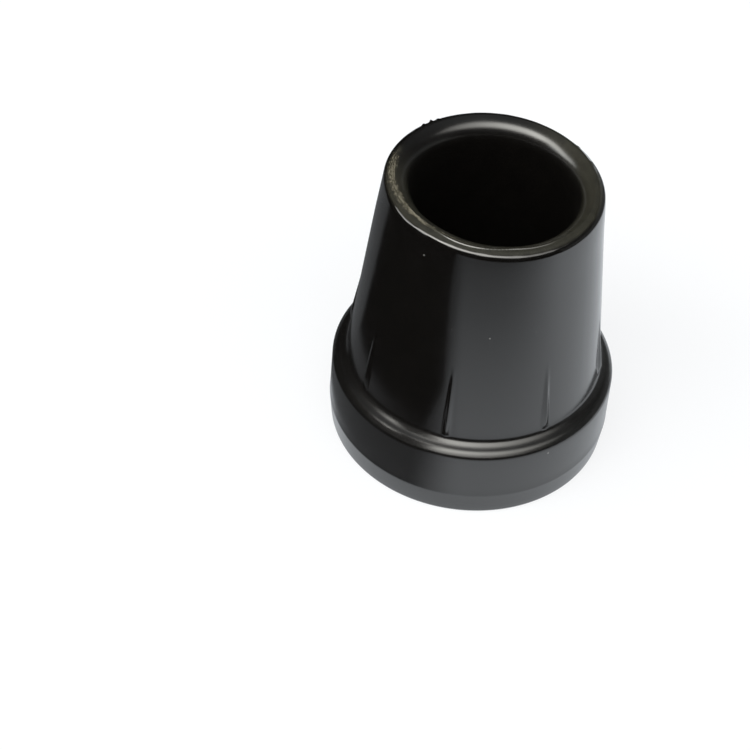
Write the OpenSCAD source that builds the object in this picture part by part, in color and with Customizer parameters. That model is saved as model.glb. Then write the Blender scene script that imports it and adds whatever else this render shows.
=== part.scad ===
// Rubber tip for a walking cane.
// One moulding: a tapered socket that a cane is pressed into, on a wide collar
// whose underside carries two gripping rings round a centre boss.
// Sizes are in millimetres. The tip stands on the floor plane, z = 0, with its
// mouth up, and its axis is the Z axis.

/* [Socket] */
// Overall height, floor to rim
tip_h = 44.5; // [38:0.5:52]
// Radius of the bore that grips the cane
bore_r = 11; // [10:0.25:11.5]
// Thickness of solid rubber under the bore
floor_h = 10; // [8:0.5:14]
// Outer radius of the socket at the rim, before its edge is rounded
rim_r = 14.6; // [14.25:0.05:15.5]
// Outer radius of the socket where it meets the collar
foot_r = 17.85; // [17:0.05:18.25]
// Height above the floor at which the socket meets the collar
foot_z = 12.9; // [12:0.1:16]
// Rounding of the outer edge of the rim
rim_round = 1.5; // [0.6:0.1:1.6]
// Radius of the opening at the very top of the rim
lip_r = 13.1; // [12:0.05:13.1]
// Radius of the bell curve that leads the cane in
bell_r = 3.2; // [2.5:0.1:5]

/* [Collar] */
// Radius of the collar at its widest line
collar_r = 20; // [19.9:0.05:22]
// Height of the widest line above the floor
parting_z = 3.9; // [3:0.1:6]
// Radius of the collar at its upper edge, before rounding
shoulder_r = 19.9; // [19.7:0.05:20]
// Height of the collar's upper edge, to which its top slopes down from the socket
collar_h = 11.3; // [9:0.1:11.8]
// Radius of the collar at the floor, before rounding
base_r = 19.6; // [19:0.05:19.85]
// Rounding of the collar's upper edge
shoulder_round = 0.9; // [0.4:0.1:1.2]
// Rounding of the collar's lower edge
base_round = 0.8; // [0.3:0.1:1.2]
// Fillet between the socket and the collar
foot_fillet = 0.7; // [0.3:0.1:2]

/* [Ribs] */
// Number of thin gusset ribs round the foot of the socket
rib_count = 8; // [4:1:12]
// Height above the floor at which a rib fades out
rib_top_z = 23.7; // [18:0.1:28]
// How far a rib stands out at its foot
rib_out = 1; // [0.5:0.05:1]
// Width of a rib along its crest
rib_crest = 0.4; // [0.2:0.05:0.8]
// Slope of a rib's sides, in degrees
rib_draft = 14; // [5:1:20]

/* [Tread] */
// Outer radius of the outer groove
groove_out_r = 14.7; // [13.5:0.05:16.5]
// Inner radius of the outer groove, the outside of the inner ring
groove_in_r = 12.15; // [11.5:0.05:13]
// Radius of the round well inside the inner ring
well_r = 9.6; // [9:0.05:10.5]
// Radius of the centre boss
boss_r = 6.8; // [5.5:0.05:7.5]
// Depth of the groove and of the well
tread_depth = 3.8; // [2.5:0.1:4.5]
// How far the boss stops short of the floor
boss_gap = 0.45; // [0.2:0.05:0.8]
// Rounding of the boss's edge
boss_round = 1.3; // [0.5:0.1:1.6]
// Draft of the groove walls, each side
groove_draft = 0.25; // [0.1:0.05:0.4]

/* [Hidden] */
$fn = 180;
rubber = [0.09, 0.09, 0.095];
// overlap that joins solids without a shared face
bite = 0.5;
// angle, above the horizontal, at which the bell curve runs out into the rim
bell_end = acos(1 - (lip_r - bore_r) / bell_r);
// depth below the rim at which the bell curve meets the straight bore
bell_h = bell_r * sin(bell_end);
// corners of the outer half-section, from the floor to the rim
floor_edge = [base_r, 0];
widest = [collar_r, parting_z];
shoulder = [shoulder_r, collar_h];
foot = [foot_r, foot_z];
rim = [rim_r, tip_h];

function unit(v) = v / norm(v);
// half of the angle at corner b, between its neighbours a and c
function half_angle(a, b, c) = acos(unit(a - b) * unit(c - b)) / 2;
// where an arc of radius r that rounds corner b leaves the line towards a
function arc_end(a, b, c, r) = b + unit(a - b) * r / tan(half_angle(a, b, c));
// centre of that arc
function arc_centre(a, b, c, r) =
    b + unit(unit(a - b) + unit(c - b)) * r / sin(half_angle(a, b, c));
// radius of the round root between two drafted walls a and b
function root_radius(a, b) = (b - a) / 2 - groove_draft;
// radius of the socket's outside at height z
function socket_r(z) = foot_r + (rim_r - foot_r) * (z - foot_z) / (tip_h - foot_z);

// Disc that rounds corner b of an outline
module arc_disc(a, b, c, r) {
    translate(arc_centre(a, b, c, r)) circle(r = r);
}

// Outer half-section: straight sides, with each corner cut at its arc's two ends
module outer_half() {
    difference() {
        union() {
            polygon([
                [0, 0],
                arc_end([0, 0], floor_edge, widest, base_round),
                arc_end(widest, floor_edge, [0, 0], base_round),
                widest,
                arc_end(widest, shoulder, foot, shoulder_round),
                arc_end(foot, shoulder, widest, shoulder_round),
                arc_end(shoulder, foot, rim, foot_fillet),
                arc_end(rim, foot, shoulder, foot_fillet),
                arc_end(foot, rim, [0, tip_h], rim_round),
                arc_end([0, tip_h], rim, foot, rim_round),
                [0, tip_h]
            ]);
            arc_disc([0, 0], floor_edge, widest, base_round);
            arc_disc(widest, shoulder, foot, shoulder_round);
            arc_disc(foot, rim, [0, tip_h], rim_round);
        }
        arc_disc(shoulder, foot, rim, foot_fillet);
    }
}

// Half-section of the bore and of the bell-shaped lead-in at its mouth
module bore_half() {
    translate([0, floor_h]) square([bore_r, tip_h - floor_h + bite]);
    difference() {
        translate([0, tip_h - bell_h]) square([lip_r, bell_h + bite]);
        translate([bore_r + bell_r, tip_h - bell_h]) circle(r = bell_r);
    }
}

// Half-section of the space between two drafted walls a and b, with a round root
module groove_half(a, b) {
    root_r = root_radius(a, b);
    root_z = tread_depth - root_r;
    polygon([
        [a, -bite], [b, -bite], [b, 0], [b - groove_draft, root_z],
        [a + groove_draft, root_z], [a, 0]
    ]);
    translate([(a + b) / 2, root_z]) circle(r = root_r);
}

// Half-section of the boss, from its rounded face up to the root of the well
module boss_half() {
    face = [0, boss_gap];
    edge = [boss_r, boss_gap];
    root = [boss_r + groove_draft, tread_depth - root_radius(boss_r, well_r)];
    polygon([
        face, arc_end(face, edge, root, boss_round), arc_end(root, edge, face, boss_round),
        root, [0, root.y]
    ]);
    arc_disc(face, edge, root, boss_round);
}

// Half-section of the round well, with the boss standing in it
module well_half() {
    root_z = tread_depth - root_radius(boss_r, well_r);
    difference() {
        union() {
            translate([0, -bite]) square([boss_r + groove_draft, bite + root_z]);
            groove_half(boss_r, well_r);
        }
        boss_half();
    }
}

// Straight fin that leans on the socket: its crest meets the wall at rib_top_z.
// It stands along +X, and both its ends are sunk in the rubber.
module rib() {
    rise = rib_top_z - foot_z;
    lean = atan((foot_r + rib_out - socket_r(rib_top_z)) / rise);
    deep = 2 * rib_out;
    flank = rib_crest / 2 + deep * tan(rib_draft);
    sink = bite + rib_out * (foot_z - collar_h) / (shoulder_r - foot_r);
    translate([foot_r + rib_out, 0, foot_z]) rotate([0, -lean, 0]) translate([0, 0, -sink])
        linear_extrude(height = rise / cos(lean) + sink + bite)
            polygon([[0, -rib_crest / 2], [0, rib_crest / 2], [-deep, flank], [-deep, -flank]]);
}

module cane_tip() {
    color(rubber) {
        rotate_extrude()
            difference() {
                outer_half();
                bore_half();
                groove_half(groove_in_r, groove_out_r);
                well_half();
            }
        for (i = [0 : rib_count - 1]) rotate(i * 360 / rib_count) rib();
    }
}

cane_tip();
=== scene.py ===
# %% [markdown]
# # A rubber cane tip
# The real thing is one rubber moulding: a tapered socket that grips the end of a
# cane, standing on a wide collar with gripping rings underneath. The solid model
# gives the sizes. This lesson dresses it: rounded edges, soft ribs, the marks that
# the mould left, dust, and the gloss of black rubber in daylight.
#
# The first cell loads the solid model. Everything made later is measured from it.

# %% Load the solid model
import math
import bpy
import numpy as np
from mathutils import Matrix, Vector


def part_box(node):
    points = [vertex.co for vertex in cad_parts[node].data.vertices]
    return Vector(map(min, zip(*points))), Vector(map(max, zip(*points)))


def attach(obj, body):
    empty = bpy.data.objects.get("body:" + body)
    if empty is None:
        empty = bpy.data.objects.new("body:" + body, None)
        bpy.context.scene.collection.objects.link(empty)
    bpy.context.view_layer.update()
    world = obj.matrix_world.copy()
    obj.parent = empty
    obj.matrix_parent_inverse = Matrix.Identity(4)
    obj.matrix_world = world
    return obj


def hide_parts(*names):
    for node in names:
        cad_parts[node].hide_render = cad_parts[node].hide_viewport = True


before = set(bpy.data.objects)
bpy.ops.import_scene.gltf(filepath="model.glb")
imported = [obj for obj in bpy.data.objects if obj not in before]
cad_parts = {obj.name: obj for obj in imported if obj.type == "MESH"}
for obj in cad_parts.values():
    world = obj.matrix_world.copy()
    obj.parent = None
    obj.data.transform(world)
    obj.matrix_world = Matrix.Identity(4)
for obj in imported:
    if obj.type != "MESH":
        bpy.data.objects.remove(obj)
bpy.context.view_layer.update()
solid_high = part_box("cane_tip")[1]
MM = 0.001
tip_h = solid_high.z / MM
print(f"solid tip: {2 * solid_high.x / MM:.1f} mm across, {tip_h:.1f} mm tall")

# %% [markdown]
# ## The camera
# The tip is looked at from half above, close to, through a long lens. The camera is
# placed by where it stands round the object, and then turned three ways: heading,
# tilt and a slight lean. Matrices keep those three turns apart, where a single set
# of Euler angles would mix them.

# %% Camera
IMAGE_PX = 750
focal_px = 2135.0
camera_azimuth, camera_out, camera_up = 7.5, 215.6, 224.6
camera_heading, camera_tilt, camera_lean = 11.12, -45.47, 4.43

camera_data = bpy.data.cameras.new("camera")
camera = bpy.data.objects.new("camera", camera_data)
bpy.context.scene.collection.objects.link(camera)
bpy.context.scene.camera = camera
camera_data.sensor_width = 36.0
camera_data.lens = camera_data.sensor_width * focal_px / IMAGE_PX
camera_data.clip_start = 0.01

stand = math.radians(camera_azimuth)
eye = Vector((camera_out * math.sin(stand), -camera_out * math.cos(stand), camera_up)) * MM
camera.matrix_world = (
    Matrix.Translation(eye)
    @ Matrix.Rotation(math.radians(camera_heading), 4, "Z")
    @ Matrix.Rotation(math.radians(90 + camera_tilt), 4, "X")
    @ Matrix.Rotation(math.radians(camera_lean), 4, "Z")
)
print(f"camera {eye.length / MM:.0f} mm away, lens {camera_data.lens:.1f} mm")

# %% [markdown]
# ## Small helpers for node trees
# Every finish here is a node tree. A few helpers keep the trees short to read: they
# start a material, add a node and fill its sockets, and make the nodes that recur.

# %% Node helpers
def new_tree(name):
    """A material with an empty node tree, and its output node."""
    material = bpy.data.materials.new(name)
    material.use_nodes = True
    tree = material.node_tree
    tree.nodes.clear()
    return material, tree, tree.nodes.new("ShaderNodeOutputMaterial")


def add(tree, kind, settings=None, **sockets):
    """A node of that kind. A socket's value is a number, a colour or another socket."""
    node = tree.nodes.new("ShaderNode" + kind)
    for name, value in (settings or {}).items():
        setattr(node, name, value)
    for name, value in sockets.items():
        socket = node.inputs[name.replace("_", " ")]
        if isinstance(value, bpy.types.NodeSocket):
            tree.links.new(value, socket)
        else:
            socket.default_value = value
    return node


def maths(tree, operation, *values, clamp=False):
    """The result of one Math node."""
    node = tree.nodes.new("ShaderNodeMath")
    node.operation, node.use_clamp = operation, clamp
    for socket, value in zip(node.inputs, values):
        if isinstance(value, bpy.types.NodeSocket):
            tree.links.new(value, socket)
        else:
            socket.default_value = value
    return node.outputs[0]


def ramp(tree, value, start, end, low=0.0, high=1.0):
    """A smooth step: low before start, high after end."""
    node = add(tree, "MapRange", {"interpolation_type": "SMOOTHSTEP"}, Value=value)
    for name, number in zip(("From Min", "From Max", "To Min", "To Max"), (start, end, low, high)):
        node.inputs[name].default_value = number
    return node.outputs[0]


def mix_colour(tree, share, first, second):
    """first where share is 0, second where it is 1."""
    node = tree.nodes.new("ShaderNodeMix")
    node.data_type = "RGBA"
    for index, value in ((0, share), (6, first), (7, second)):
        if isinstance(value, bpy.types.NodeSocket):
            tree.links.new(value, node.inputs[index])
        else:
            node.inputs[index].default_value = value
    return node.outputs[2]


def mix_shader(tree, share, first, second):
    """first where share is 0, second where it is 1."""
    node = tree.nodes.new("ShaderNodeMixShader")
    tree.links.new(share, node.inputs[0])
    tree.links.new(first.outputs[0], node.inputs[1])
    tree.links.new(second.outputs[0], node.inputs[2])
    return node.outputs[0]


print("helpers ready")

# %% [markdown]
# ## The floor
# Black rubber shows almost nothing of its own colour: what is seen on it is the
# room, mirrored. So the stage is built as carefully as the tip. A sheet of cool
# white paper under it is mirrored in the sides as slate grey. A studio lights such
# paper from below, so that it glows and the shadow on it stays faint. Here the paper
# glows for the camera and for mirrors, and is plain paper for everything else. The
# mirrored glow is a little bluer, as paper under a north sky is.

# %% Floor
FLOOR_R = 3.0
GLOW_SHARE = 0.78
PAPER_DIM, PAPER_LIGHT = (0.86, 0.905, 0.98, 1), (0.88, 0.925, 1.0, 1)
GLOW_WHITE, GLOW_MIRRORED = (1.0, 1.0, 1.0, 1), (0.92, 0.96, 1.0, 1)
bpy.ops.mesh.primitive_circle_add(vertices=96, radius=FLOOR_R, fill_type="NGON")
floor = bpy.context.object
floor.name = "floor"
floor_paint, tree, out = new_tree("floor_paper")
spot = add(tree, "NewGeometry").outputs["Position"]
grain = add(tree, "TexNoise", Vector=spot, Scale=900.0, Detail=3.0).outputs["Fac"]
paper_colour = mix_colour(tree, grain, PAPER_DIM, PAPER_LIGHT)
bump = add(tree, "Bump", Strength=0.05, Distance=0.0002, Height=grain).outputs["Normal"]
paper = add(tree, "BsdfDiffuse", Color=paper_colour, Normal=bump)
ray = tree.nodes.new("ShaderNodeLightPath").outputs
glow_colour = mix_colour(tree, ray["Is Camera Ray"], GLOW_MIRRORED, GLOW_WHITE)
glow = add(tree, "Emission", Color=glow_colour, Strength=1.0)
mirrored = maths(tree, "MAXIMUM", ray["Is Glossy Ray"], ray["Is Transmission Ray"])
seen = maths(tree, "MAXIMUM", ray["Is Camera Ray"], mirrored)
lit_paper = mix_shader(tree, maths(tree, "MULTIPLY", seen, GLOW_SHARE), paper, glow)
tree.links.new(lit_paper, out.inputs["Surface"])
floor.data.materials.append(floor_paint)
print("floor", floor.name)

# %% [markdown]
# ## The sky and its window
# A wide window stands high behind the camera and runs round to both sides, where it
# comes lower, as a straight window does. Its mirror image is the bright line on
# every rounded edge, so its height and reach set where those lines lie and how far
# they run. It could be a lamp, but a window is easier to paint on the sky: a soft
# band round a curve of elevation, times a falloff round the compass. A short stretch
# at the left is brighter, and a faint tail runs on to the right. Above it is a dim
# ceiling. Low down the sky is pale, which is what other views show behind the tip.

# %% Sky and window
WINDOW_COLOUR, ROOM_COLOUR = (1.0, 0.985, 0.93, 1), (0.93, 0.98, 1.0, 1)
WINDOW_LEVEL, CEILING_LEVEL, WALL_LEVEL, HORIZON_LEVEL = 6.1, 0.24, 0.08, 0.95
window_peak, window_half, window_soft = 52.2, 12.5, 7.0
window_middle, window_bend, window_least = 8.8, 0.484, 0.05
window_rise, window_fall, window_tail = (-112.0, -48.0), (-20.0, 110.0), (100.0, 140.0)
tail_share = 0.13
gleam_start, gleam_full, gleam_end = -50.0, -37.0, -22.0
gleam_level = 1.6
ceiling_low, ceiling_high = 40.0, 72.0
horizon_low, horizon_high = 28.0, 33.0

sky = bpy.data.worlds.new("sky")
bpy.context.scene.world = sky
sky.use_nodes = True
tree = sky.node_tree
across = add(tree, "SeparateXYZ", Vector=add(tree, "TexCoord").outputs["Generated"])
up = maths(tree, "DEGREES", maths(tree, "ARCSINE", across.outputs["Z"]))
behind = maths(tree, "MULTIPLY", across.outputs["Y"], -1.0)
compass = maths(tree, "DEGREES", maths(tree, "ARCTAN2", across.outputs["X"], behind))
off_window = maths(tree, "RADIANS", maths(tree, "SUBTRACT", compass, window_middle))
facing = maths(tree, "MAXIMUM", maths(tree, "COSINE", off_window), window_least)
climb = maths(tree, "POWER", facing, window_bend)
climb = maths(tree, "MULTIPLY", climb, math.tan(math.radians(window_peak)))
middle = maths(tree, "DEGREES", maths(tree, "ARCTANGENT", climb))
off_middle = maths(tree, "ABSOLUTE", maths(tree, "SUBTRACT", up, middle))
band = ramp(tree, off_middle, window_half - window_soft, window_half + window_soft, 1.0, 0.0)
reach = maths(
    tree, "ADD", ramp(tree, compass, *window_fall, 1.0 - tail_share, 0.0),
    ramp(tree, compass, *window_tail, tail_share, 0.0))
reach = maths(tree, "MULTIPLY", reach, ramp(tree, compass, *window_rise, 0.0, WINDOW_LEVEL))
gleam = maths(
    tree, "MULTIPLY", ramp(tree, compass, gleam_start, gleam_full, 0.0, gleam_level),
    ramp(tree, compass, gleam_full, gleam_end, 1.0, 0.0))
reach = maths(tree, "ADD", reach, gleam)
room_light = maths(
    tree, "ADD",
    ramp(tree, up, ceiling_low, ceiling_high, WALL_LEVEL, CEILING_LEVEL),
    ramp(tree, up, horizon_low, horizon_high, HORIZON_LEVEL - WALL_LEVEL, 0.0))
window_strength = maths(tree, "MULTIPLY", band, reach)
window_glow = add(tree, "Background", Color=WINDOW_COLOUR, Strength=window_strength)
room_glow = tree.nodes["Background"]
room_glow.inputs["Color"].default_value = ROOM_COLOUR
tree.links.new(room_light, room_glow.inputs["Strength"])
both = tree.nodes.new("ShaderNodeAddShader")
tree.links.new(window_glow.outputs[0], both.inputs[0])
tree.links.new(room_glow.outputs[0], both.inputs[1])
tree.links.new(both.outputs[0], tree.nodes["World Output"].inputs["Surface"])
bpy.context.scene.view_settings.view_transform = "Standard"
print(f"window {2 * window_half:.0f} degrees high, {window_peak:.0f} degrees up")

# %% [markdown]
# ## Dark cards
# Crisp dark lines on a glossy thing come from dark cards that stand round it, out of
# shot. Only mirror rays see these, so they cast no shadow and hide nothing from any
# camera. Tall grey walls hide the pale part of the sky, but dip at the left, where
# the window comes down. A low black ring hides the far floor. A black sheet on the
# floor is painted shade, seen only in mirrors: it darkens the floor in front of the
# tip more and more away from it, so that the socket grows darker towards its rim, and
# it darkens the floor at the left as a painted shadow. A leaning card at the left
# makes the dark side, and a narrow one on top of it dims the left of the collar. A
# paler card at the right lifts its right.

# %% Card helper
def card_object(name, rings, start, end, paint, steps=72):
    """A sheet bent round the axis. rings: (radius, height, extra turn of the end)."""
    vertices, faces = [], []
    for radius, height, skew in rings:
        for i in range(steps + 1):
            turn = math.radians(start + (end + skew - start) * i / steps)
            vertices.append(
                Vector((radius * math.sin(turn), -radius * math.cos(turn), height)) * MM)
    for row in range(len(rings) - 1):
        for i in range(steps):
            low, high = row * (steps + 1) + i, (row + 1) * (steps + 1) + i
            faces.append((low, low + 1, high + 1, high))
    mesh = bpy.data.meshes.new(name)
    mesh.from_pydata(vertices, [], faces)
    mesh.materials.append(paint)
    card = bpy.data.objects.new(name, mesh)
    bpy.context.scene.collection.objects.link(card)
    card.visible_camera = card.visible_diffuse = card.visible_shadow = False
    return card


def flock(name, level):
    """Flocked card of that grey, a little uneven."""
    low, high = [0.8 * level] * 3, [1.2 * level] * 3
    paint, tree, out = new_tree(name)
    pile = add(tree, "TexNoise", Scale=600.0, Detail=4.0).outputs["Fac"]
    shade = mix_colour(tree, pile, (*low, 1), (*high, 1))
    felt = add(tree, "BsdfDiffuse", Color=shade, Roughness=1.0)
    tree.links.new(felt.outputs[0], out.inputs["Surface"])
    return paint


BLACK_LEVEL, GREY_LEVEL, SIDE_LEVEL = 0.007, 0.04, 0.13
black_flock = flock("black_flock", BLACK_LEVEL)
grey_flock = flock("grey_flock", GREY_LEVEL)
side_flock = flock("side_flock", SIDE_LEVEL)
print("flocks", black_flock.name, grey_flock.name, side_flock.name)

# %% Walls, ring and cards
def upright(radius, height):
    """Rings of a card that stands straight up."""
    return [(radius, 0.0, 0.0), (radius, height, 0.0)]


walls_r, walls_h, dip_h = 600.0, 430.0, 220.0
dip_start, dip_end = -94.0, -52.0
ring_r, ring_h = 150.0, 85.0
side_r, side_h, side_start, side_end = 140.0, 75.0, 78.0, 165.0
lean_far, lean_near = -98.0, -9.0
lean_foot, lean_knee = (36.0, 0.0, -11.0), (39.6, 6.0, 0.0)
lean_shelf, lean_top = (47.5, 19.6, -7.6), (48.0, 40.0, -3.7)
lean_rings = [lean_foot, lean_knee, lean_shelf, lean_top]
stand_far, stand_top = -42.0, (48.0, 62.0, 0.8)

card_object("grey_walls", upright(walls_r, walls_h), dip_end, dip_start + 360.0, grey_flock)
card_object("low_wall", upright(walls_r, dip_h), dip_start, dip_end, grey_flock)
card_object("black_ring", upright(ring_r, ring_h), -180.0, 180.0, black_flock)
card_object("side_card", upright(side_r, side_h), side_start, side_end, side_flock)
lean = card_object("leaning_card", lean_rings, lean_far, lean_near, black_flock)
card_object("standing_card", [lean_top, stand_top], stand_far, lean_near, black_flock)
print("cards end at", lean_near, "degrees at the foot of the", lean.name)

# %% Painted shade on the floor, seen only in mirrors
# the painted shade deepens with distance from the axis, in metres, and towards the front; it is
# deep at the left
shade_sheet_r, shade_sheet_z = 22.0, 0.4
shade_azimuth = math.radians(7.5)
front_start, front_full = 0.25, 1.0
shade_near, shade_far, shade_most = 0.018, 0.115, 0.9
left_full, left_gone, left_most = -18.0, 10.0, 0.85

# painted shade of the floor: a black sheet that only mirrors see
shade_sheet_paint, tree, out = new_tree("painted_floor_shade")
spot = add(tree, "NewGeometry").outputs["Position"]
place = add(tree, "SeparateXYZ", Vector=spot)
behind = maths(tree, "MULTIPLY", place.outputs["Y"], math.cos(shade_azimuth))
ahead = maths(tree, "MULTIPLY", place.outputs["X"], math.sin(shade_azimuth))
reach = add(tree, "VectorMath", {"operation": "LENGTH"}, Vector=spot).outputs["Value"]
facing = maths(tree, "DIVIDE", maths(tree, "SUBTRACT", ahead, behind), reach)
floor_shade = maths(
    tree, "MULTIPLY", ramp(tree, facing, front_start, front_full),
    ramp(tree, reach, shade_near, shade_far, 0.0, shade_most))
forward = maths(tree, "MULTIPLY", place.outputs["Y"], -1.0)
floor_compass = maths(tree, "DEGREES", maths(tree, "ARCTAN2", place.outputs["X"], forward))
# painted shadow on the floor at the left
left_shade = ramp(tree, floor_compass, left_full, left_gone, left_most, 0.0)
floor_shade = maths(tree, "MAXIMUM", floor_shade, left_shade)
shade_black = add(tree, "BsdfDiffuse", Color=(0.004, 0.004, 0.004, 1))
shade_sheet = mix_shader(tree, floor_shade, tree.nodes.new("ShaderNodeBsdfTransparent"), shade_black)
tree.links.new(shade_sheet, out.inputs["Surface"])
shade_sheet_rings = [(shade_sheet_r, shade_sheet_z, 0.0), (ring_r, shade_sheet_z, 0.0)]
card_object("floor_shade_sheet", shade_sheet_rings, -180.0, 180.0, shade_sheet_paint)
print("shade_sheet", shade_sheet_paint.name)

# %% [markdown]
# ## The section
# The tip was turned as a mould cavity, so one half-section says nearly everything.
# The section is a list of corners, each with its rounding, from the middle of the
# bore's floor, up the bore, over the rim, down the outside and under the tread to
# the middle of the boss. A helper rounds each corner with a true arc. Drawing it as
# a curve by hand would be quicker, but then no size could be named. The rim and the
# bell curve inside it get finer arcs, because the light runs along them.

# %% Sizes of the moulding, in millimetres
bore_r, mouth_bore_r, floor_h = 11.0, 11.12, 10.0
taper_low, taper_high = 26.0, 34.0
lip_r, lip_round, lip_run, bell_r = 13.26, 0.15, 0.06, 3.05
rim_r, rim_round = 14.6, 1.1
mouth_tilt, mouth_low_side = math.radians(1.65), math.radians(73.0)
foot_r, foot_z, foot_fillet = 17.86, 12.88, 1.05
slope_in, slope_out, slope_last = 48.0, 62.0, 43.5
inner_round, outer_round = 3.2, 2.2
shoulder_r, shoulder_round = 19.9, 0.9
collar_r, parting_z = solid_high.x / MM, 3.9
parting_step, parting_half = 0.02, 0.15
base_r, base_round = 19.6, 0.8
groove_out_r, groove_in_r, tread_depth, draft = 14.7, 12.15, 3.8, 0.25
well_r, boss_r, boss_gap, boss_round = 9.6, 6.8, 0.45, 1.3
edge_round, bore_round = 0.2, 0.8
plate_r, plate_step, plate_round = 4.9, 0.1, 0.05
pip_r, pip_taper, pip_round = 0.6, 0.6, 0.03
bead_h, mouth_spare = 0.14, 0.12

mouth_z = tip_h - rim_r * math.tan(mouth_tilt) - mouth_spare
bell_turn = math.acos(1 - (lip_r - lip_run - mouth_bore_r) / bell_r)
bell_z = mouth_z - (lip_r - mouth_bore_r) / math.tan(bell_turn)
root_out = (groove_out_r - groove_in_r) / 2 - draft
root_in = (well_r - boss_r) / 2 - draft
print(f"mouth {mouth_z:.2f} mm up, the bell turns {math.degrees(bell_turn):.0f} degrees")

# %% Round the corners of an outline
STRAIGHT_STEP, CROWN_STEP = 1.5, 0.04
ARC_STEP = 10.0


def straight(a, b):
    """Points between a and b, neither end included."""
    step = CROWN_STEP if min(a[1], b[1]) > mouth_z - 1e-6 else STRAIGHT_STEP
    steps = math.ceil(np.linalg.norm(b - a) / step)
    return [a + (b - a) * i / steps for i in range(1, steps)]


def rounded_outline(corners):
    """Points of an outline. A corner is (r, z, rounding), or with its arc's step."""
    points = [np.array(corners[0][:2])]
    for before, here, after in zip(corners, corners[1:], corners[2:]):
        corner = np.array(here[:2])
        back, ahead = np.array(before[:2]) - corner, np.array(after[:2]) - corner
        back, ahead = back / np.linalg.norm(back), ahead / np.linalg.norm(ahead)
        half = math.acos(np.clip(back @ ahead, -1, 1)) / 2
        setback = here[2] / math.tan(half)
        arc = [corner]
        if here[2]:
            inwards = (back + ahead) / np.linalg.norm(back + ahead)
            centre = corner + inwards * here[2] / math.sin(half)
            step = here[3] if len(here) > 3 else ARC_STEP
            steps = max(3, round((180 - math.degrees(2 * half)) / step))
            start, end = corner + back * setback - centre, corner + ahead * setback - centre
            turn = math.atan2(start[0] * end[1] - start[1] * end[0], start @ end)
            for i in range(steps + 1):
                c, s = math.cos(turn * i / steps), math.sin(turn * i / steps)
                arc.append(centre + (c * start[0] - s * start[1], s * start[0] + c * start[1]))
            arc = arc[1:]
        points += straight(points[-1], arc[0]) + arc
    return np.array(points + straight(points[-1], np.array(corners[-1][:2])) + [corners[-1][:2]])


print("outline helper ready")

# %% [markdown]
# ## The top of the collar
# The collar doesn't meet the socket in a flat ledge. Its top falls away outwards in
# a shallow S: steep, then flatter, then steep again. Three straight stretches with
# wide roundings between them make it. Each stretch is given by the elevation of its
# normal, which is what decides the part of the room that it mirrors.

# %% Corners of the collar's top
def run_down(start, elevation, length):
    """The corner that lies outwards and down from start, along a face of that normal."""
    tilt = math.radians(elevation)
    return (start[0] + length * math.sin(tilt), start[1] - length * math.cos(tilt))


slope_runs = (0.9, 0.8)
foot_corner = (foot_r, foot_z)
inner_break = run_down(foot_corner, slope_in, slope_runs[0])
outer_break = run_down(inner_break, slope_out, slope_runs[1])
last_run = (shoulder_r - outer_break[0]) / math.sin(math.radians(slope_last))
shoulder_corner = run_down(outer_break, slope_last, last_run)
print("collar top falls from", foot_z, "to", round(shoulder_corner[1], 2))

# %% The half-section
EDGE_STEP = 22.0
pip_edge = pip_r * pip_taper
section = rounded_outline([
    (0.0, floor_h, 0),
    (bore_r, floor_h, bore_round),
    (bore_r, taper_low, 0),
    (mouth_bore_r, taper_high, 0),
    (mouth_bore_r, bell_z, bell_r, 3.5),
    (lip_r, mouth_z, lip_round, 9.0),
    (rim_r, mouth_z, rim_round, 2.0),
    (*foot_corner, foot_fillet, 5.0),
    (*inner_break, inner_round, 3.0),
    (*outer_break, outer_round, 3.0),
    (*shoulder_corner, shoulder_round, 6.0),
    (collar_r - parting_step, parting_z + parting_half, 0),
    (collar_r, parting_z, 0),
    (collar_r - parting_step, parting_z - parting_half, 0),
    (base_r, 0.0, base_round),
    (groove_out_r, 0.0, edge_round, EDGE_STEP),
    (groove_out_r - draft, tread_depth, root_out),
    (groove_in_r + draft, tread_depth, root_out),
    (groove_in_r, 0.0, edge_round, EDGE_STEP),
    (well_r, 0.0, edge_round, EDGE_STEP),
    (well_r - draft, tread_depth, root_in),
    (boss_r + draft, tread_depth, root_in),
    (boss_r, boss_gap + plate_step, boss_round),
    (plate_r + plate_step, boss_gap + plate_step, plate_round, EDGE_STEP),
    (plate_r, boss_gap, plate_round, EDGE_STEP),
    (pip_r, boss_gap, pip_round, EDGE_STEP),
    (pip_edge, boss_gap + plate_step, pip_round, EDGE_STEP),
    (0.0, boss_gap + plate_step, 0),
])
print(len(section), "rings in the section")

# %% [markdown]
# ## Columns round the axis
# The mesh is a grid: the section's points are its rings, and angles round the axis
# are its columns. Eight low ribs stand on the foot of the socket. A boolean with
# eight fins would leave knife-sharp joints, so the ribs are a height added to the
# socket's wall instead: across, a rib is one wave of a cosine. The columns crowd
# together at each rib, and at the places where the rim is flawed.

# %% Flaws of the rim
RIM_EDGE = (rim_r - 0.32, mouth_z - 0.32)
RIM_LOW = (rim_r + 0.05, mouth_z - 1.3)
# angle round the axis, centre in the section, half-width round, half-width along, out, up
rim_flaws = [
    (144.6, RIM_EDGE, 0.22, 0.30, 0.20, 0.10),
    (139.4, RIM_EDGE, 0.16, 0.30, 0.26, 0.16),
    (135.2, RIM_EDGE, 0.30, 0.25, 0.10, 0.10),
    (150.5, RIM_EDGE, 0.20, 0.25, 0.06, 0.05),
    (35.5, RIM_EDGE, 0.28, 0.25, 0.05, 0.04),
    (49.2, RIM_EDGE, 0.45, 0.25, 0.06, 0.05),
    (227.5, RIM_EDGE, 2.2, 0.45, -0.03, -0.03),
    (338.7, RIM_LOW, 0.14, 0.25, -0.07, 0.0),
    (343.8, RIM_LOW, 0.14, 0.25, -0.07, 0.0),
]
print(len(rim_flaws), "flaws")

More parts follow.
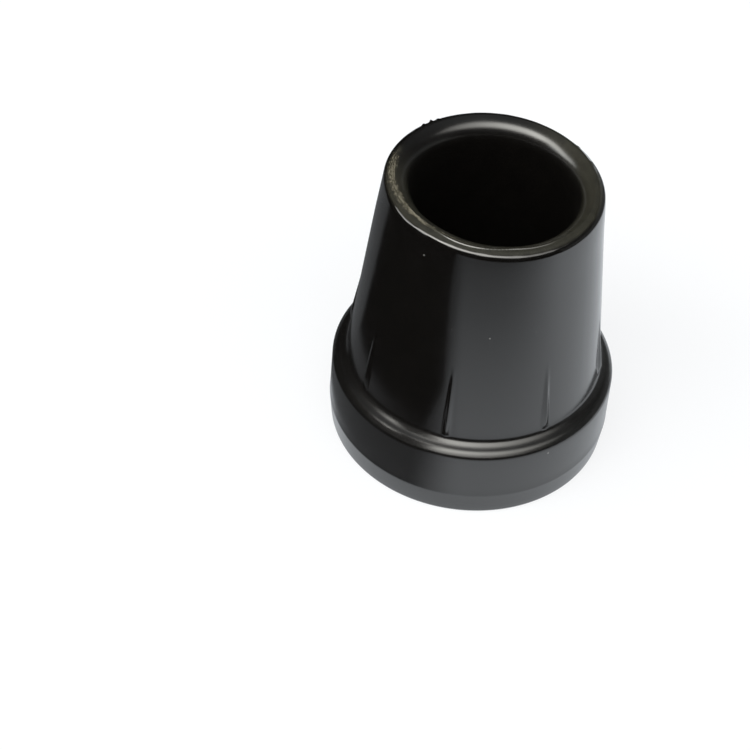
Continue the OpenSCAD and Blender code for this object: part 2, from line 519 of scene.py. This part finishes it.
# %% Angles of the columns
# steps in degrees; the rib's columns in millimetres from its middle
rib_count, rib_top_z = 8, 23.7
plain_step, flaw_step, least_step = 2.0, 0.3, 0.12
rib_columns = np.array([0.0, 0.08, 0.17, 0.27, 0.38, 0.5, 0.62, 0.74, 0.88, 1.1])

pitch = 360 / rib_count
near_rib = np.degrees(rib_columns / foot_r)
one_side = np.concatenate([-near_rib[:0:-1], near_rib])
gap = np.arange(near_rib[-1] + plain_step, pitch - near_rib[-1] - plain_step / 2, plain_step)
plain = np.concatenate([i * pitch + np.concatenate([one_side, gap]) for i in range(rib_count)])
fine = np.arange(-4, 5) * flaw_step
crowd = np.concatenate([flaw[0] + fine for flaw in rim_flaws])
angles = np.sort(np.concatenate([plain, crowd]) % 360)
angles = np.radians(angles[np.append(True, np.diff(angles) > least_step)])
print(len(angles), "columns")

# %% Height of a rib
rib_out, rib_half_top, rib_half_foot = 0.6, 0.42, 0.8
rib_fade_low, rib_fade_high = foot_z - 0.25, foot_z + 2.0


def smooth_step(value, start, end):
    """0 before start, 1 after end, and smooth between."""
    share = np.clip((value - start) / (end - start), 0, 1)
    return share * share * (3 - 2 * share)


def rib_height(angle, z):
    """How far the wall stands out at that angle and height."""
    aside = (angle + math.radians(pitch / 2)) % math.radians(pitch) - math.radians(pitch / 2)
    share = np.clip((rib_top_z - z) / (rib_top_z - foot_z), 0, 1)
    half = rib_half_top + (rib_half_foot - rib_half_top) * share
    across = np.clip(np.abs(aside) * foot_r / half, 0, 1)
    foot_fade = smooth_step(z, rib_fade_low, rib_fade_high)
    return rib_out * share * foot_fade * (1 + np.cos(math.pi * across)) / 2


print("rib stands out", round(float(rib_height(0.0, rib_fade_high)), 2))

# %% Grid of points
lip_row = int(np.argmax(section[:, 1] > mouth_z - 1e-6))
outside = np.arange(len(section)) >= lip_row
outer_wall = outside & (section[:, 1] > rib_fade_low)
turned = np.zeros((len(section), len(angles), 3))
for row, (r, z) in enumerate(section):
    radius = r + (rib_height(angles, z) if outer_wall[row] else 0.0 * angles)
    turned[row, :, 0] = radius * np.cos(angles)
    turned[row, :, 1] = radius * np.sin(angles)
    turned[row, :, 2] = z
print("grid", turned.shape)

# %% [markdown]
# ## The mouth
# Real mouldings come out a little wrong, and the eye reads that as real. This mouth
# is out of square by less than two degrees, and its opening is off centre, so that
# one side of the rim is thicker. The rim is also a little wavy, and a fine bead of
# rubber runs along the inner lip on the near side, where two parts of the mould met.
# A few lumps and nicks are left from trimming, and the far edge is worn rounder. All
# of these are moves of the grid's points, with smooth weights, so that the rest of
# the tip stays true.

# %% Mouth out of square, opening off centre
bore_shift, rim_shift = np.array([0.224, 0.099]), np.array([0.086, 0.0])
low_side = np.array([math.sin(mouth_low_side), -math.cos(mouth_low_side)])
wall_slope = (foot_r - rim_r) / (mouth_z - foot_z)
wall_still, wall_moved = 36.0, 42.5
bore_still, bore_moved = 30.0, 41.0
crown_end = rim_r - 0.1


def move_out(amount):
    """Move the points away from the axis by that much."""
    turned[:, :, 0] += amount * np.cos(angles)
    turned[:, :, 1] += amount * np.sin(angles)


rows_r, rows_z = section[:, 0], section[:, 1]
near_mouth = np.where(rows_z > floor_h, smooth_step(rows_z, wall_still, wall_moved), 0.0)
near_bore = smooth_step(rows_z, bore_still, bore_moved)
crown = smooth_step(rows_r, lip_r, crown_end)
drop = near_mouth[:, None] * (turned[:, :, :2] @ low_side) * math.tan(mouth_tilt)
turned[:, :, 2] -= drop
on_wall = outside * (near_mouth > 0) * smooth_step(rows_r, lip_r, rim_r)
move_out(on_wall[:, None] * drop * wall_slope)
inside_shift = near_bore[:, None] * bore_shift
crown_shift = (1 - crown)[:, None] * bore_shift + crown[:, None] * rim_shift
outside_shift = near_mouth[:, None] * crown_shift
turned[:, :, :2] += np.where(outside[:, None], outside_shift, inside_shift)[:, None, :]
print(f"mouth from {turned[lip_row, :, 2].min():.2f} to {turned[lip_row, :, 2].max():.2f} mm")

# %% Waves of the rim
from_front = np.degrees(angles) + 90


def swell(centre, flat, end):
    """1 within flat degrees of an azimuth, and smoothly 0 beyond end degrees."""
    away = np.abs((from_front - centre + 180) % 360 - 180)
    return 1 - smooth_step(away, flat, end)


# azimuth, half-width that is level, half-width in all, lift
rim_waves = [(-25.5, 3.0, 22.0, 0.11), (-14.0, 6.0, 28.0, 0.08), (42.0, 8.0, 30.0, -0.07)]
for centre, flat, end, lift in rim_waves:
    turned[:, :, 2] += near_mouth[:, None] * lift * swell(centre, flat, end)
print(len(rim_waves), "waves")

# %% Bead along the inner lip
# a drift is how far the bead strays outwards there, then a wave's three numbers
BEAD_R, BEAD_SIGMA, BEAD_REACH = lip_r - 0.1, 0.085, 0.3
bead_middle, bead_flat, bead_end = 2.0, 44.0, 66.0
bead_drifts = [(0.52, -6.0, 1.0, 38.0), (0.18, 37.0, 4.0, 18.0)]
bead_r = BEAD_R + sum(out * swell(centre, flat, end) for out, centre, flat, end in bead_drifts)
from_bead = (rows_r[:, None] - bead_r) / BEAD_SIGMA
near_bead = np.exp(-from_bead ** 2 / 2) * (rows_z > mouth_z - BEAD_REACH)[:, None]
turned[:, :, 2] += bead_h * near_bead * swell(bead_middle, bead_flat, bead_end)
print("bead", bead_h, "mm high")

# %% Lumps and nicks
def nearness(centre, reach):
    """1 at a place in the section, and fading over that reach round it."""
    away = np.hypot(rows_r - centre[0], rows_z - centre[1]) / reach
    return np.exp(-away ** 2)[:, None]


for angle, centre, half_round, half_along, out_move, up_move in rim_flaws:
    aside = np.abs((angles - math.radians(angle) + math.pi) % (2 * math.pi) - math.pi) * rim_r
    weight = nearness(centre, half_along) * np.exp(-(aside / half_round) ** 2)
    move_out(weight * out_move)
    turned[:, :, 2] += weight * up_move
print("lumps and nicks made:", len(rim_flaws))

# %% Worn far edge, and an edge that wanders
worn_middle, worn_flat, worn_end = 172.0, 60.0, 120.0
worn_in, worn_reach, wander_reach = 0.137, 0.6, 0.4
# size in millimetres, waves in a full turn, phase
wander_waves = [(0.018, 23, 0.7), (0.014, 41, 2.1)]

worn = worn_in * nearness(RIM_EDGE, worn_reach) * swell(worn_middle, worn_flat, worn_end)
move_out(-worn)
turned[:, :, 2] -= worn
wander = sum(size * np.sin(count * angles + phase) for size, count, phase in wander_waves)
move_out(nearness(RIM_EDGE, wander_reach) * wander)
print("highest point", round(float(turned[:, :, 2].max()), 3))

# %% [markdown]
# ## The plate under the boss
# The face of the boss carries the print of a round plug in the mould, a raised disc
# that sits to one side. The rings of the disc slide across as one, and the rings
# between the disc and the boss's edge share out the distance.

# %% Plate to one side
plate_shift = np.array([0.62, -0.28])
slide_end = boss_r - 1.0
under = rows_z < boss_gap + 2 * plate_step
slide = (1 - smooth_step(rows_r, plate_r + plate_step, slide_end)) * under
turned[:, :, :2] += (slide[:, None] * plate_shift)[:, None, :]
print("plate", plate_r, "mm in radius")

# %% Mesh from the grid
def grid_mesh(name, points):
    """A closed mesh: quads between the rings, and a fan at each end of the section."""
    count = points.shape[1]
    middle = points[1:-1].reshape(-1, 3)
    ends = [points[0].mean(axis=0), points[-1].mean(axis=0)]
    vertices = np.vstack([middle, ends]) * MM
    first, last = len(middle), len(middle) + 1
    columns = np.arange(count)
    ahead = (columns + 1) % count
    rows = points.shape[0] - 2
    faces = []
    for row in range(rows - 1):
        a, b = row * count, (row + 1) * count
        faces += [(a + i, a + j, b + j, b + i) for i, j in zip(columns, ahead)]
    faces += [(j, i, first) for i, j in zip(columns, ahead)]
    foot = (rows - 1) * count
    faces += [(foot + i, foot + j, last) for i, j in zip(columns, ahead)]
    mesh = bpy.data.meshes.new(name)
    mesh.from_pydata(vertices.tolist(), [], [tuple(int(k) for k in f) for f in faces])
    mesh.update()
    mesh.shade_smooth()
    return mesh


tip = bpy.data.objects.new("moulded_tip", grid_mesh("moulded_tip", turned))
bpy.context.scene.collection.objects.link(tip)
triangles = sum(len(face.vertices) - 2 for face in tip.data.polygons)
print(len(tip.data.vertices), "vertices", triangles, "triangles")

# %% [markdown]
# ## Black rubber
# Moulded rubber is a black body with a smooth skin. The base colour is nearly black,
# and the skin does the work: a fairly sharp mirror, softened by a fine grain. On top
# of that a hand has left its traces: a thin brown film on the rim, a tan scuff of
# dust along the inner lip, and a few pale specks. Each trace could be a painted
# image, but a mask worked out from the place on the tip needs no image file, and it
# stays put in every view.

# %% Places on the tip, for the masks
rubber, tree, out = new_tree("black_rubber")
spot = add(tree, "TexCoord").outputs["Object"]
scaled = add(tree, "VectorMath", {"operation": "SCALE"}, Vector=spot)
scaled.inputs["Scale"].default_value = 1 / MM
spot_mm = scaled.outputs["Vector"]
place = add(tree, "SeparateXYZ", Vector=spot_mm)
x, y, z = (place.outputs[axis] for axis in "XYZ")


def from_point(tree, x, y, across, along):
    """How far a place is, seen from above, from the point (across, along)."""
    side, ahead = maths(tree, "SUBTRACT", x, across), maths(tree, "SUBTRACT", y, along)
    squares = maths(tree, "MULTIPLY", side, side), maths(tree, "MULTIPLY", ahead, ahead)
    return maths(tree, "SQRT", maths(tree, "ADD", *squares))


def cloudy(at, scale, detail, roughness=0.5):
    """A soft random pattern between 0 and 1, in the rubber's tree."""
    noise = add(tree, "TexNoise", Vector=at, Scale=scale, Detail=detail, Roughness=roughness)
    return noise.outputs["Fac"]


from_axis = from_point(tree, x, y, 0.0, 0.0)
azimuth = maths(tree, "DEGREES", maths(tree, "ARCTAN2", x, maths(tree, "MULTIPLY", y, -1.0)))
mouth_x = maths(tree, "MULTIPLY", x, float(low_side[0]) * math.tan(mouth_tilt))
mouth_y = maths(tree, "MULTIPLY", y, float(low_side[1]) * math.tan(mouth_tilt))
mouth_here = maths(tree, "SUBTRACT", maths(tree, "SUBTRACT", mouth_z, mouth_x), mouth_y)
below_mouth = maths(tree, "SUBTRACT", mouth_here, z)
print("masks measured in millimetres")

# %% Brown film on the rim
film_facing, film_start, film_full = 37.5, -0.85, -0.2
film_clouds, film_depths, film_edge = (0.3, 0.6), (0.5, 1.8), (rim_r - 0.5, rim_r - 0.1)
cloud_least = 0.65

film_turn = maths(tree, "RADIANS", maths(tree, "SUBTRACT", azimuth, film_facing))
film = ramp(tree, maths(tree, "COSINE", film_turn), film_start, film_full)
cloud = cloudy(spot_mm, 0.9, 5.0, 0.6)
film = maths(tree, "MULTIPLY", film, ramp(tree, cloud, *film_clouds, cloud_least, 1.0))
film = maths(tree, "MULTIPLY", film, ramp(tree, below_mouth, *film_depths, 1.0, 0.0))
film = maths(tree, "MULTIPLY", film, ramp(tree, from_axis, *film_edge, 1.0, 0.0))
print("film is thickest at", film_facing, "degrees")

# %% Where the tan scuff lies
scuff_in, scuff_full, scuff_out, scuff_gone = -104.0, -80.0, -48.0, 4.0
scuff_r_start, scuff_r_end = 13.5, 13.15
scuff_half_start, scuff_half_end = 0.62, 0.3
scuff_blotches, scuff_widths, scuff_depths = (0.3, 0.7), (0.25, 1.2), (1.2, 2.2)
blotch_eats, blotch_adds = 0.45, -0.25

scuff_r = ramp(tree, azimuth, scuff_full, scuff_out, scuff_r_start, scuff_r_end)
scuff_half = ramp(tree, azimuth, scuff_full, scuff_gone, scuff_half_start, scuff_half_end)
blotch = cloudy(spot_mm, 1.3, 4.0, 0.6)
off_scuff = maths(tree, "ABSOLUTE", maths(tree, "SUBTRACT", from_axis, scuff_r))
off_scuff = maths(tree, "DIVIDE", off_scuff, scuff_half)
blotch_edge = ramp(tree, blotch, *scuff_blotches, blotch_eats, blotch_adds)
off_scuff = maths(tree, "ADD", off_scuff, blotch_edge)
spread = ramp(tree, off_scuff, *scuff_widths, 1.0, 0.0)
along_in = ramp(tree, azimuth, scuff_in, scuff_full)
along = maths(tree, "MULTIPLY", along_in, ramp(tree, azimuth, scuff_out, scuff_gone, 1.0, 0.0))
print("scuff from", scuff_in, "to", scuff_gone, "degrees")

# %% Streaks and flecks of the scuff
# streaks run round the rim, so the noise is drawn out that way
STREAK_ALONG, STREAK_ACROSS = 0.9, 4.5
streak_limits, fleck_limits, fleck_least = (0.4, 0.66), (0.38, 0.62), 0.3
dust_gain, dust_least = 1.1, 0.16

drawn = add(tree, "CombineXYZ")
round_rim = maths(tree, "MULTIPLY", azimuth, STREAK_ALONG * lip_r * math.radians(1))
tree.links.new(round_rim, drawn.inputs[0])
tree.links.new(maths(tree, "MULTIPLY", from_axis, STREAK_ACROSS), drawn.inputs[1])
tree.links.new(maths(tree, "MULTIPLY", below_mouth, STREAK_ACROSS), drawn.inputs[2])
streak = ramp(tree, cloudy(drawn.outputs[0], 1.0, 4.0, 0.65), *streak_limits)
fleck = ramp(tree, cloudy(spot_mm, 5.5, 3.0, 0.7), *fleck_limits, fleck_least, 1.0)
dusting = maths(tree, "MULTIPLY", streak, fleck)
dusting = maths(tree, "ADD", maths(tree, "MULTIPLY", dusting, dust_gain), dust_least)
scuff = maths(tree, "MULTIPLY", maths(tree, "MULTIPLY", spread, along), dusting)
near_top = ramp(tree, below_mouth, *scuff_depths, 1.0, 0.0)
scuff = maths(tree, "MULTIPLY", scuff, near_top, clamp=True)
print("streaks drawn out", STREAK_ACROSS / STREAK_ALONG, "times")

# %% Specks of dust
# azimuth, height, radius of the surface there, radius of the speck
specks = [
    (-23.8, 40.8, 14.93, 0.1), (14.5, 30.5, 16.01, 0.09), (44.0, 10.3, 19.91, 0.12),
    (-3.8, 31.0, 15.96, 0.06), (36.8, 30.8, 15.98, 0.05),
]
speck_core, speck_rim = 0.6, 1.3
speck = None
for speck_azimuth, height, out_r, speck_r in specks:
    turn = math.radians(speck_azimuth)
    centre = (out_r * math.sin(turn), -out_r * math.cos(turn), height)
    away = add(tree, "VectorMath", {"operation": "DISTANCE"}, Vector=spot_mm)
    away.inputs[1].default_value = centre
    dot = ramp(tree, away.outputs["Value"], speck_core * speck_r, speck_rim * speck_r, 1.0, 0.0)
    speck = dot if speck is None else maths(tree, "MAXIMUM", speck, dot)
print(len(specks), "specks")

# %% Tool rings on the plate
ring_pitch, ring_heights, ring_edge = 0.42, (0.9, 1.0), (plate_r - 0.3, plate_r)
plate_reach = from_point(tree, x, y, float(plate_shift[0]), float(plate_shift[1]))
tool = maths(tree, "SINE", maths(tree, "MULTIPLY", plate_reach, 2 * math.pi / ring_pitch))
near_floor = ramp(tree, z, *ring_heights, 1.0, 0.0)
on_plate = maths(tree, "MULTIPLY", near_floor, ramp(tree, plate_reach, *ring_edge, 1.0, 0.0))
tool = maths(tree, "MULTIPLY", tool, on_plate)
print("tool rings", ring_pitch, "mm apart")

# %% Colour of the rubber
BLACK_DEEP, BLACK_WORN = (0.0025, 0.0023, 0.0021, 1), (0.0042, 0.0036, 0.0031, 1)
FILM_BROWN, SCUFF_TAN = (0.028, 0.0265, 0.0195, 1), (0.20, 0.18, 0.13, 1)
SPECK_PALE = (0.17, 0.168, 0.16, 1)
mottle = cloudy(spot_mm, 0.35, 4.0, 0.6)
black = mix_colour(tree, mottle, BLACK_DEEP, BLACK_WORN)
brown = mix_colour(tree, film, black, FILM_BROWN)
dusty = mix_colour(tree, scuff, brown, SCUFF_TAN)
colour = mix_colour(tree, speck, dusty, SPECK_PALE)
print("colours mixed")

# %% Gloss of the rubber
# the skin is rougher in the bore, on the collar and under dust, smoother at the rim
mottle_limits, gloss_rough, dull_rough = (0.3, 0.7), 0.15, 0.18
bore_edge, collar_edge = (lip_r - 0.6, lip_r), (foot_z - 0.2, foot_z + 1.2)
rim_depths, rim_width = (0.8, 1.6), (13.6, 14.0)
bore_rougher, collar_rougher, rim_smoother, dust_rougher = 0.06, 0.08, 0.06, 0.3

rough = ramp(tree, mottle, *mottle_limits, gloss_rough, dull_rough)
rough = maths(tree, "ADD", rough, ramp(tree, from_axis, *bore_edge, bore_rougher, 0.0))
rough = maths(tree, "ADD", rough, ramp(tree, z, *collar_edge, collar_rougher, 0.0))
near_edge = ramp(tree, below_mouth, *rim_depths, 1.0, 0.0)
near_edge = maths(tree, "MULTIPLY", ramp(tree, from_axis, *rim_width), near_edge)
rough = maths(tree, "SUBTRACT", rough, maths(tree, "MULTIPLY", near_edge, rim_smoother))
dust_rough = maths(tree, "MULTIPLY", scuff, dust_rougher)
rough = maths(tree, "ADD", rough, dust_rough, clamp=True)
print("roughness from", gloss_rough - rim_smoother)

# %% Rubber material
RUBBER_IOR = 1.75
skin = cloudy(spot_mm, 5.2, 3.0)
relief = maths(tree, "ADD", skin, scuff)
skin_bump = add(tree, "Bump", Strength=0.1, Distance=0.00002, Height=relief).outputs["Normal"]
ring_bump = add(tree, "Bump", Strength=0.35, Distance=0.00003, Height=tool, Normal=skin_bump)
bumps = ring_bump.outputs["Normal"]
shader = add(tree, "BsdfPrincipled", Base_Color=colour, Roughness=rough, Normal=bumps)
shader.inputs["IOR"].default_value = RUBBER_IOR
tree.links.new(shader.outputs[0], out.inputs["Surface"])
tip.data.materials.append(rubber)
print("rubber ready")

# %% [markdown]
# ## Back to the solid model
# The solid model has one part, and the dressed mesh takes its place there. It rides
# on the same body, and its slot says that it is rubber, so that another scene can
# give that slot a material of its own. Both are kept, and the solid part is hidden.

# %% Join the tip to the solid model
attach(tip, "root")
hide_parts("cane_tip")
